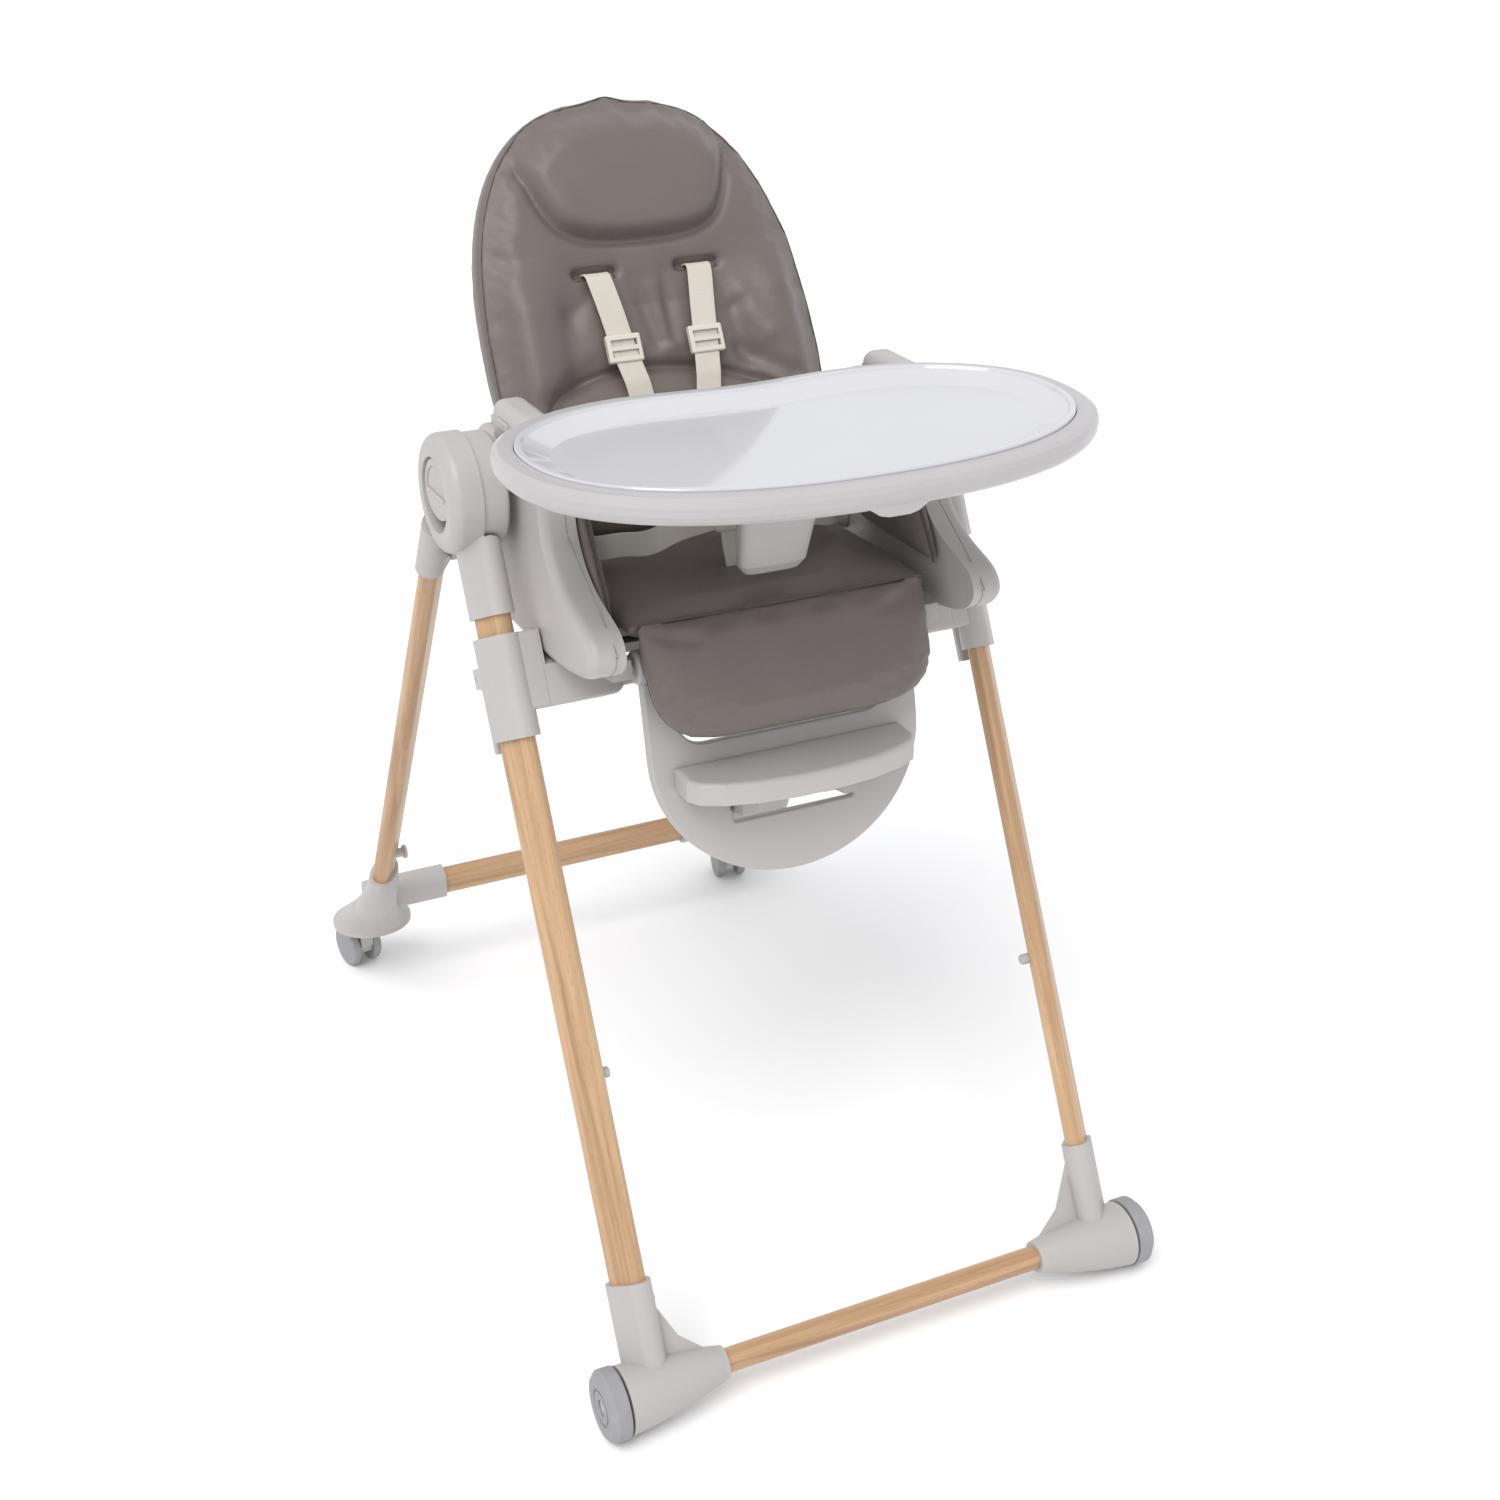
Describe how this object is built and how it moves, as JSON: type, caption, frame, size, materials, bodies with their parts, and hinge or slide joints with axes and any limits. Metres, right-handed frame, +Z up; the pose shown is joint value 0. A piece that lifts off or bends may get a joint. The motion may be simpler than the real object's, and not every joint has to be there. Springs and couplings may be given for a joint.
{
  "type": "baby high chair",
  "caption": "Folding baby high chair on a wooden A-frame, with a height-adjustable reclining padded seat, legrest, footboard, harness, sliding tray and rear casters.",
  "frame": {"origin": "centre of the footprint on the floor", "axes": "+Z up, -Y the way the child faces, +X to the child's left"},
  "size_m": [0.552, 0.915, 1.0177],
  "materials": {
    "wood": "satin clear-lacquered beech",
    "frame_plastic": "fine matte moulded",
    "seat_plastic": "fine matte moulded",
    "tray_plastic": "smooth satin-gloss moulded",
    "insert_plastic": "glossy translucent",
    "wheel_plastic": "matt soft-tread",
    "steel": "plated",
    "leatherette": "soft grained leatherette",
    "webbing": "woven webbing",
    "harness_plastic": "satin moulded"
  },
  "bodies": {
    "front_frame": {"front_leg_left": "wood", "front_leg_right": "wood", "front_crossbar": "wood", "front_foot_left": "frame_plastic", "front_foot_right": "frame_plastic", "hub_housing_left": "frame_plastic", "hub_housing_right": "frame_plastic", "front_wheel_axles": "steel", "hub_retaining_rings": "frame_plastic", "button_return_springs": "steel", "height_stop_pegs": "frame_plastic"},
    "front_wheel_left": {"front_wheel_left": "wheel_plastic"},
    "front_wheel_right": {"front_wheel_right": "wheel_plastic"},
    "fold_button_left": {"fold_button_left": "frame_plastic"},
    "fold_button_right": {"fold_button_right": "frame_plastic"},
    "rear_frame": {"rear_leg_left": "wood", "rear_leg_right": "wood", "rear_crossbar": "wood", "rear_foot_left": "frame_plastic", "rear_foot_right": "frame_plastic", "rear_hub_left": "frame_plastic", "rear_hub_right": "frame_plastic", "tray_storage_pegs": "frame_plastic"},
    "seat": {"slider_left": "frame_plastic", "slider_right": "frame_plastic", "seat_crossbeam": "seat_plastic", "seat_side_left": "seat_plastic", "seat_side_right": "seat_plastic", "seat_pan": "seat_plastic", "seat_hinge_pins": "steel", "seat_cushion": "leatherette", "side_bolsters": "leatherette", "crotch_strap": "webbing", "lap_straps": "webbing", "harness_buckle": "harness_plastic"},
    "height_lever_left": {"height_lever_left": "frame_plastic"},
    "height_lever_right": {"height_lever_right": "frame_plastic"},
    "buckle_button": {"buckle_button": "harness_plastic"},
    "backrest": {"backrest_shell": "seat_plastic", "backrest_cushion": "leatherette", "headrest_pillow": "leatherette", "shoulder_straps": "webbing", "strap_adjusters": "harness_plastic"},
    "recline_handle": {"recline_handle": "seat_plastic"},
    "legrest": {"legrest_panel": "seat_plastic", "legrest_support": "seat_plastic", "legrest_cushion": "leatherette"},
    "footboard": {"footboard": "seat_plastic"},
    "tray": {"tray_base": "tray_plastic", "tray_arms": "seat_plastic", "crotch_post": "seat_plastic"},
    "tray_insert": {"tray_insert": "insert_plastic"},
    "tray_release_left": {"tray_release_left": "seat_plastic"},
    "tray_release_right": {"tray_release_right": "seat_plastic"},
    "caster_left": {"caster_fork_left": "frame_plastic"},
    "caster_wheels_left": {"caster_wheels_left": "wheel_plastic"},
    "caster_brake_left": {"caster_brake_left": "wheel_plastic"},
    "caster_right": {"caster_fork_right": "frame_plastic"},
    "caster_wheels_right": {"caster_wheels_right": "wheel_plastic"},
    "caster_brake_right": {"caster_brake_right": "wheel_plastic"}
  },
  "joints": [
    {"name": "frame_fold", "type": "hinge", "parent": "front_frame", "child": "rear_frame", "pos_m": [0, -0.056, 0.7325], "axis": [-1, 0, 0], "range_deg": [0, 42]},
    {"name": "front_wheel_spin_left", "type": "hinge", "parent": "front_frame", "child": "front_wheel_left", "pos_m": [-0.267, -0.4255, 0.032], "axis": [1, 0, 0], "continuous": true},
    {"name": "fold_button_press_left", "type": "slide", "parent": "front_frame", "child": "fold_button_left", "axis": [1, 0, 0], "range_m": [0, 0.005], "stiffness_N_per_m": 800, "springref_m": -0.002},
    {"name": "caster_swivel_left", "type": "hinge", "parent": "rear_frame", "child": "caster_left", "pos_m": [-0.238, 0.4008, 0.06], "axis": [0, 0, 1], "continuous": true},
    {"name": "caster_wheel_spin_left", "type": "hinge", "parent": "caster_left", "child": "caster_wheels_left", "pos_m": [-0.24278, 0.4233, 0.025], "axis": [0.9781, 0.2079, 0], "continuous": true},
    {"name": "caster_brake_press_left", "type": "hinge", "parent": "caster_left", "child": "caster_brake_left", "pos_m": [-0.24341, 0.42623, 0.056], "axis": [-0.9781, -0.2079, 0], "range_deg": [0, 10]},
    {"name": "front_wheel_spin_right", "type": "hinge", "parent": "front_frame", "child": "front_wheel_right", "pos_m": [0.267, -0.4255, 0.032], "axis": [1, 0, 0], "continuous": true},
    {"name": "fold_button_press_right", "type": "slide", "parent": "front_frame", "child": "fold_button_right", "axis": [-1, 0, 0], "range_m": [0, 0.005], "stiffness_N_per_m": 800, "springref_m": -0.002},
    {"name": "caster_swivel_right", "type": "hinge", "parent": "rear_frame", "child": "caster_right", "pos_m": [0.238, 0.4008, 0.06], "axis": [0, 0, 1], "continuous": true},
    {"name": "caster_wheel_spin_right", "type": "hinge", "parent": "caster_right", "child": "caster_wheels_right", "pos_m": [0.24278, 0.4233, 0.025], "axis": [0.9781, -0.2079, 0], "continuous": true},
    {"name": "caster_brake_press_right", "type": "hinge", "parent": "caster_right", "child": "caster_brake_right", "pos_m": [0.24341, 0.42623, 0.056], "axis": [-0.9781, 0.2079, 0], "range_deg": [0, 10]},
    {"name": "seat_height", "type": "slide", "parent": "front_frame", "child": "seat", "axis": [0, -0.4532, -0.8914], "range_m": [0, 0.28]},
    {"name": "height_lever_squeeze_left", "type": "hinge", "parent": "seat", "child": "height_lever_left", "pos_m": [-0.233, -0.1164, 0.58259], "axis": [1, 0, 0], "range_deg": [0, 12], "stiffness_Nm_per_rad": 0.4, "springref_deg": -5.73},
    {"name": "height_lever_squeeze_right", "type": "hinge", "parent": "seat", "child": "height_lever_right", "pos_m": [0.233, -0.1164, 0.58259], "axis": [1, 0, 0], "range_deg": [0, 12], "stiffness_Nm_per_rad": 0.4, "springref_deg": -5.73},
    {"name": "buckle_button_press", "type": "slide", "parent": "seat", "child": "buckle_button", "axis": [0, 1, 0], "range_m": [0, 0.002], "stiffness_N_per_m": 500, "springref_m": -0.001},
    {"name": "backrest_recline", "type": "hinge", "parent": "seat", "child": "backrest", "pos_m": [0, -0.0134, 0.6386], "axis": [-1, 0, 0], "range_deg": [0, 28]},
    {"name": "recline_handle_pull", "type": "slide", "parent": "backrest", "child": "recline_handle", "axis": [0, 0.4848, 0.8746], "range_m": [0, 0.012], "stiffness_N_per_m": 400, "springref_m": -0.003},
    {"name": "legrest_lift", "type": "hinge", "parent": "seat", "child": "legrest", "pos_m": [0, -0.199, 0.605], "axis": [-1, 0, 0], "range_deg": [0, 60]},
    {"name": "footboard_height", "type": "slide", "parent": "legrest", "child": "footboard", "axis": [0, 0.2227, 0.9749], "range_m": [0, 0.028]},
    {"name": "tray_slide", "type": "slide", "parent": "seat", "child": "tray", "axis": [0, -1, 0], "range_m": [-0.03, 0.03]},
    {"name": "tray_insert_lift", "type": "slide", "parent": "tray", "child": "tray_insert", "axis": [0, 0, 1], "range_m": [0, 0.06]},
    {"name": "tray_release_press_left", "type": "slide", "parent": "tray", "child": "tray_release_left", "axis": [1, 0, 0], "range_m": [0, 0.003], "stiffness_N_per_m": 500, "springref_m": -0.001},
    {"name": "tray_release_press_right", "type": "slide", "parent": "tray", "child": "tray_release_right", "axis": [-1, 0, 0], "range_m": [0, 0.003], "stiffness_N_per_m": 500, "springref_m": -0.001}
  ]
}
